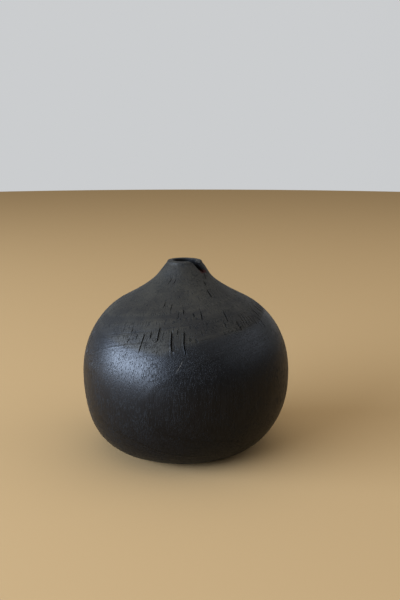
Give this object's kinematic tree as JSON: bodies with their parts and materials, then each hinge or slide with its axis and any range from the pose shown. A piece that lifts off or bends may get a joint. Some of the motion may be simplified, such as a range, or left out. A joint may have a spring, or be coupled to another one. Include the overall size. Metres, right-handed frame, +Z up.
{
  "type": "narrow-mouthed pot",
  "caption": "Squat onion-shaped black hollow pot with a short curved neck, a small round mouth split on one side, and a felt pad to stand on.",
  "frame": {"origin": "on the resting face of the felt pad, at the turning axis", "axes": "+Z up along the turning axis to the mouth, -Y is the front seen in the picture, and the split opens 50 degrees from the front towards +X"},
  "size_m": [0.15, 0.15, 0.138],
  "materials": {
    "blackened_wood": "charred, brushed, oiled to a satin sheen",
    "plug_wood": "stained dark, sanded, matt",
    "felt": "pressed wool felt"
  },
  "bodies": {
    "root": {"upper_shell": "blackened_wood", "lower_shell": "blackened_wood", "base_plug": "plug_wood", "felt_pad": "felt"}
  },
  "joints": []
}
